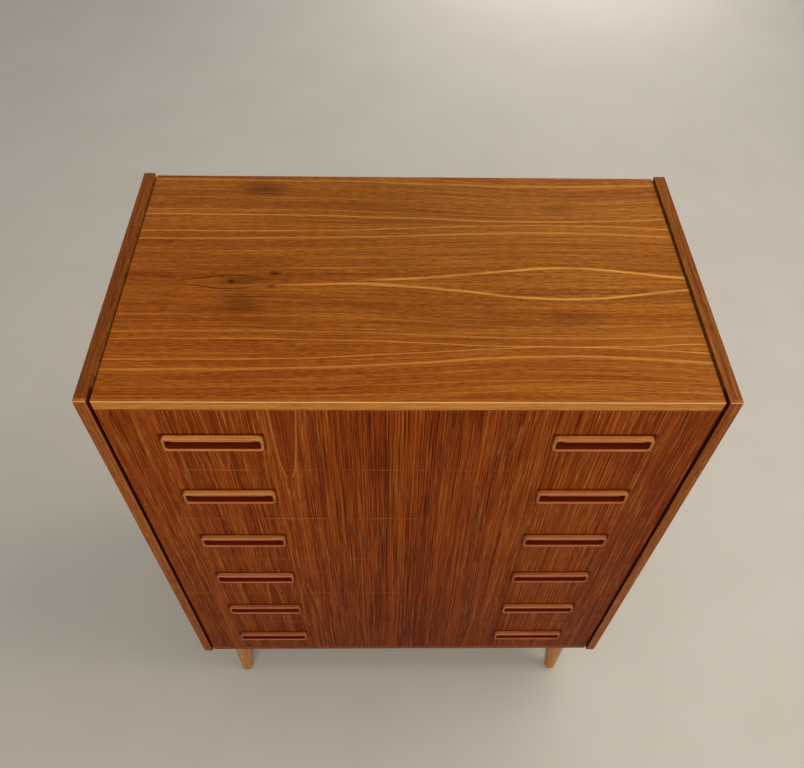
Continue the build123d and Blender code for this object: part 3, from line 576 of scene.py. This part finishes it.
for top_radius, foot_radius, top, foot in (
    (floor_radius, given["Shank radius"], given["Slot depth"], given["Head height"]),
    (given["Shank radius"], given["Shank radius"], given["Head height"],
     node(screws, MATH, SUB, given["Length"], TIP_LENGTH)),
    (given["Shank radius"], TIP_RADIUS, node(screws, MATH, SUB, given["Length"], TIP_LENGTH), given["Length"]),
):
    cone = node(screws, "GeometryNodeMeshCone", None, HEAD_SIDES, 1, 1, top_radius, foot_radius,
                node(screws, MATH, SUB, foot, top))
    sunk = node(screws, "ShaderNodeCombineXYZ", None, 0.0, 0.0, node(screws, MATH, MUL, foot, -1.0))
    cones.append(node(screws, "GeometryNodeTransform", None, cone, Translation=sunk))
one_screw = node(screws, "GeometryNodeJoinGeometry")
for part in (half_head, other_half, *cones):
    screws.links.new(part.outputs[0], one_screw.inputs[0])
facing = node(screws, "GeometryNodeInputNamedAttribute", {"data_type": "FLOAT_VECTOR"}, "facing")
turned = node(screws, "FunctionNodeAlignRotationToVector", {"axis": "Z"}, Vector=facing)
chance = node(screws, "FunctionNodeRandomValue", {"data_type": "FLOAT"}, Seed=given["Seed"])
spin = node(screws, "FunctionNodeAxisAngleToRotation", None, (0.0, 0.0, 1.0),
            node(screws, MATH, MUL, chance.outputs[1], HALF_TURN))
turned = node(screws, "FunctionNodeRotateRotation", {"rotation_space": "LOCAL"}, turned, spin)
row = node(screws, "GeometryNodeInstanceOnPoints", None, given["Seats"], Instance=one_screw, Rotation=turned)
real = node(screws, "GeometryNodeRealizeInstances", None, row)
plated = node(screws, "GeometryNodeSetMaterial", None, real, True, given["Steel"])
node(screws, "NodeGroupOutput", None, plated)

# real sizes of the screws, in metres
for name, length, seed in (("back_panel_screws", 0.016, 4), ("runner_screws", 0.020, 9)):
    seats = screw_seats(name)
    points = bpy.data.meshes.new(name + "_seats")
    points.from_pydata([seat for seat, _ in seats], [], [])
    points.attributes.new("facing", "FLOAT_VECTOR", "POINT")
    points.attributes["facing"].data.foreach_set("vector", [c for _, way in seats for c in way])
    holder = bpy.data.objects.new(name + "_seats", points)
    bpy.context.scene.collection.objects.link(holder)
    modifier = holder.modifiers.new("screws", "NODES")
    modifier.node_group = screws
    sizes = {
        "Head radius": 0.0033, "Head height": 0.0019, "Shank radius": 0.0017, "Length": length,
        "Slot width": 0.0011, "Slot depth": 0.0009, "Seed": seed, "Steel": steel,
    }
    for socket in screws.interface.items_tree:
        if socket.in_out == "INPUT" and socket.name in sizes:
            modifier[socket.identifier] = sizes[socket.name]
    ready = holder.evaluated_get(bpy.context.evaluated_depsgraph_get())
    mesh = bpy.data.meshes.new_from_object(ready)
    bpy.data.objects.remove(holder)
    piece = bpy.data.objects.new("slotted_" + name, mesh)
    bpy.context.scene.collection.objects.link(piece)
    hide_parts(name)
    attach(piece, "case")

# ---------------------------------------------------------------- floor, light and camera

# Plain matt floor, very slightly uneven in tone
stone, tree, shader, axes = material("pale_matt_floor")
place = node(tree, "ShaderNodeCombineXYZ", None, *axes)
soft = node(tree, NOISE, None, place, None, 0.004, 3.0, 0.5)
tint = node(tree, MIX, BLEND, soft, linear("#bfbab1"), linear("#c9c4bc"))
tree.links.new(tint.outputs[2], shader.inputs["Base Color"])
shader.inputs["Roughness"].default_value = 0.8
mesh = bpy.data.meshes.new("floor")
mesh.from_pydata([(-8, -8, 0), (8, -8, 0), (8, 8, 0), (-8, 8, 0)], [], [(0, 1, 2, 3)])
floor = bpy.data.objects.new("floor", mesh)
mesh.materials.append(stone)
bpy.context.scene.collection.objects.link(floor)


def soft_light(name, place, aim, size, power, colour):
    """A square studio panel at `place`, turned towards `aim`."""
    lamp = bpy.data.lights.new(name, "AREA")
    lamp.size = size
    lamp.energy = power
    lamp.color = linear(colour)[:3]
    made = bpy.data.objects.new(name, lamp)
    made.location = place
    made.rotation_euler = (Vector(aim) - Vector(place)).to_track_quat("-Z", "Y").to_euler()
    bpy.context.scene.collection.objects.link(made)


soft_light("overhead_panel", (1.5, 0.2, 2.9), (0, 0, 0.8), 1.8, 38, "#fff8ee")
soft_light("front_panel", (-0.3, -2.2, 2.9), (0, 0, 0.9), 1.6, 35, "#fff4e6")
soft_light("right_panel", (3.0, -0.6, 2.2), (0, 0, 0.7), 1.8, 18, "#fffaf2")
soft_light("rear_panel", (0.9, 3.6, 1.0), (0, 0, 0.5), 1.5, 26, "#fffaf4")
world = bpy.data.worlds.new("studio")
world.use_nodes = True
sky = world.node_tree.nodes["Background"]
sky.inputs["Color"].default_value = linear("#f4f1ea")
sky.inputs["Strength"].default_value = 0.42
bpy.context.scene.world = world
bpy.context.scene.view_settings.view_transform = "Standard"

# Standing in front of the chest, eye at head height, looking steeply down at it
# all distances are in widths of the chest, from the top front edge of the case
PITCH, YAW, ROLL = radians(51.870), radians(1.694), radians(1.489)
EYE_LEFT, EYE_BEFORE, EYE_ABOVE = 0.03367, 0.68521, 0.91807
ahead = Vector((sin(YAW) * cos(PITCH), cos(YAW) * cos(PITCH), -sin(PITCH)))
level_right = ahead.cross(Vector((0, 0, 1))).normalized()
level_up = level_right.cross(ahead)
right = level_right * cos(ROLL) + level_up * sin(ROLL)
up = level_up * cos(ROLL) - level_right * sin(ROLL)
lens = bpy.data.cameras.new("camera")
lens.sensor_width = 36.0
lens.lens = 34.52
lens.clip_start = 0.02
camera = bpy.data.objects.new("camera", lens)
eye_at = Vector((-EYE_LEFT * WIDTH, CASE_FRONT - EYE_BEFORE * WIDTH, TOP_OF_SIDES + EYE_ABOVE * WIDTH))
camera.matrix_world = Matrix.Translation(eye_at) @ Matrix((right, up, -ahead)).transposed().to_4x4()
bpy.context.scene.collection.objects.link(camera)
bpy.context.scene.camera = camera
